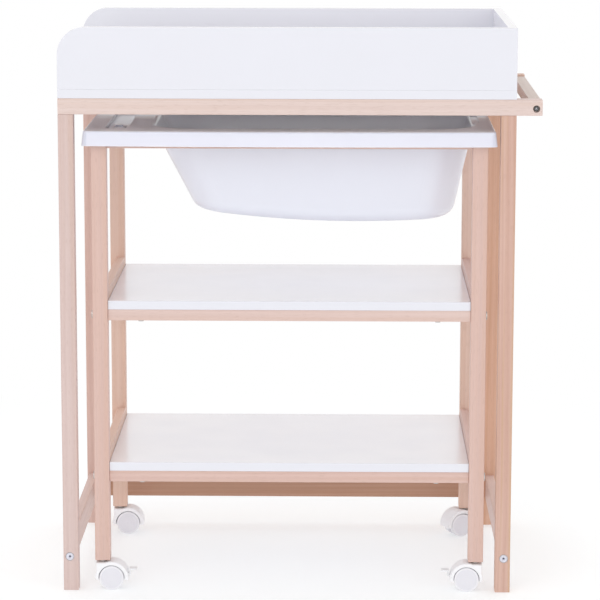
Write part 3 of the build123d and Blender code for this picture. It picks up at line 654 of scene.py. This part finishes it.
white_board = coated_board()
bath_plastic = bath_moulding("bath_plastic", "bathtub")
plug_plastic = plastic("plug_plastic", colour=(0.70, 0.71, 0.77, 1), dusting=0.05,
                       low=0.2, high=0.3, ripple=0.1 * MM)
castor_plastic = plastic("castor_plastic", colour=(0.95, 0.945, 0.965, 1), dusting=0.10,
                         low=0.32, high=0.44, ripple=0.05 * MM)
pedal_plastic = plastic("pedal_plastic", colour=(0.87, 0.875, 0.89, 1), dusting=0.15,
                        low=0.35, high=0.5, ripple=0.05 * MM)
zinc_steel = zinc("zinc_steel", colour=(0.62, 0.61, 0.60, 1), tarnish=(0.30, 0.28, 0.26, 1))
# the towel bar's bolt heads are painted nearly black on face and rim: painted shade of the
# counterbore round each head; their middle is paler
counterbore_shade_zinc = turned_zinc("counterbore_shade_zinc", "towel_bar_bolts", colour=(0.11, 0.11, 0.11, 1),
                        tarnish=(0.05, 0.05, 0.05, 1), middle_colour=(0.52, 0.49, 0.52, 1),
                        middle_radius=1.7 * MM, head_radius=4.4 * MM)
# the stretcher bolts' middles are painted nearly black, a painted shade in their key recess, and
# their rims darker, a painted shade of the gap round them
bright_zinc = turned_zinc("bright_zinc", "stretcher_bolts", colour=(0.80, 0.80, 0.90, 1),
                          tarnish=(0.44, 0.40, 0.40, 1), middle_colour=(0.10, 0.10, 0.16, 1),
                          middle_radius=1.6 * MM, head_radius=7.0 * MM)


def dress(node, material):
    """Give a piece its material."""
    for slot in frame["nodes"][node].material_slots:
        slot.material = material


wood_tones = {
    "table_leg_front_left": "cream", "table_leg_back_left": "rosy",
    "table_leg_front_right": "amber", "table_leg_back_right": "warm",
    "table_rail_front": "pale", "table_rail_back": "honey",
    "table_rail_left": "pale", "table_rail_right": "rosy",
    # the back stretcher's tone holds painted shade
    "stretcher_left": "soft", "stretcher_right": "soft", "stretcher_back": "tan_in_painted_shade",
    "towel_bar": "ash",
    "trolley_leg_front_left": "rosy", "trolley_leg_front_right": "rosy",
    "trolley_leg_back_left": "honey", "trolley_leg_back_right": "honey",
    "trolley_rail_upper_front": "soft", "trolley_rail_lower_front": "rosy",
    "trolley_rail_head_left": "honey", "trolley_rail_upper_left": "honey",
    "trolley_rail_lower_left": "honey",
}
finishes = {"board": white_board, "bath_plastic": bath_plastic, "plug_plastic": plug_plastic,
            "castor_plastic": castor_plastic, "pedal_plastic": pedal_plastic, "steel": zinc_steel}

for part in frame["record"]["subparts"]:
    node, finish = part["node"], part["material_slot"]
    if finish in finishes:
        dress(node, finishes[finish])
    elif finish != "wheel_plastic":
        dress(node, wood(node, wood_tones.get(node, "rosy")))
dress("towel_bar_bolts", counterbore_shade_zinc)
dress("stretcher_bolts", bright_zinc)
for corner in castor_headings:
    dress(f"castor_wheels_{corner}", wheel(f"castor_wheels_{corner}", corner))

# Floor, backdrop and lamps


def seen_by_eye(tree):
    """Whether a ray comes from the camera, or by way of gloss or glass."""
    rays = tree.nodes.new("ShaderNodeLightPath").outputs
    seen = maths(tree, "MAXIMUM", rays["Is Camera Ray"], rays["Is Glossy Ray"])
    return maths(tree, "MAXIMUM", seen, rays["Is Transmission Ray"])


def pale_floor():
    """A pale floor that shows the shade of the object and turns plain white further out."""
    material = bpy.data.materials.new("pale_floor")
    material.use_nodes = True
    tree = material.node_tree
    tree.nodes.clear()
    away = length(tree, tree.nodes.new("ShaderNodeTexCoord").outputs["Object"])
    away = put(tree, "MapRange", {0: away, 1: floor_clear_radius, 2: floor_white_radius},
               interpolation_type="SMOOTHSTEP").outputs[0]
    ground = put(tree, "BsdfDiffuse", {"Color": floor_colour}).outputs[0]
    glow = put(tree, "Emission", {"Color": plain_white, "Strength": floor_glow}).outputs[0]
    near = put(tree, "AddShader", {0: ground, 1: glow}).outputs[0]
    white = put(tree, "Emission", {"Color": plain_white, "Strength": 1.0}).outputs[0]
    share = times(tree, seen_by_eye(tree), away)
    far = put(tree, "MixShader", {0: share, 1: near, 2: white}).outputs[0]
    output = tree.nodes.new("ShaderNodeOutputMaterial")
    tree.links.new(far, output.inputs["Surface"])
    return material


def lay_floor():
    mesh = bpy.data.meshes.new("floor")
    turns = [2 * pi * step / floor_sides for step in range(floor_sides)]
    rim = [(floor_radius * cos(turn), floor_radius * sin(turn), 0) for turn in turns]
    mesh.from_pydata(rim, [], [range(floor_sides)])
    mesh.materials.append(pale_floor())
    floor = bpy.data.objects.new("floor", mesh)
    bpy.context.collection.objects.link(floor)


def light_world():
    """An even white sky, seen as plain white and lighting the object more gently."""
    world = bpy.data.worlds.new("studio")
    world.use_nodes = True
    tree = world.node_tree
    tree.nodes.clear()
    heading = along_axis(tree, tree.nodes.new("ShaderNodeTexCoord").outputs["Generated"], "Y")
    light = ramp(tree, heading, -sky_change, sky_change, sky_front, sky_back)
    strength = ramp(tree, seen_by_eye(tree), 0.0, 1.0, light, 1.0)
    sky = put(tree, "Background", {"Color": plain_white, "Strength": strength}).outputs[0]
    output = tree.nodes.new("ShaderNodeOutputWorld")
    tree.links.new(sky, output.inputs["Surface"])
    bpy.context.scene.world = world


lay_floor()
light_world()
for name, settings in lamps.items():
    softbox(name, *settings)
point_camera()
bpy.context.scene.view_settings.view_transform = "Standard"
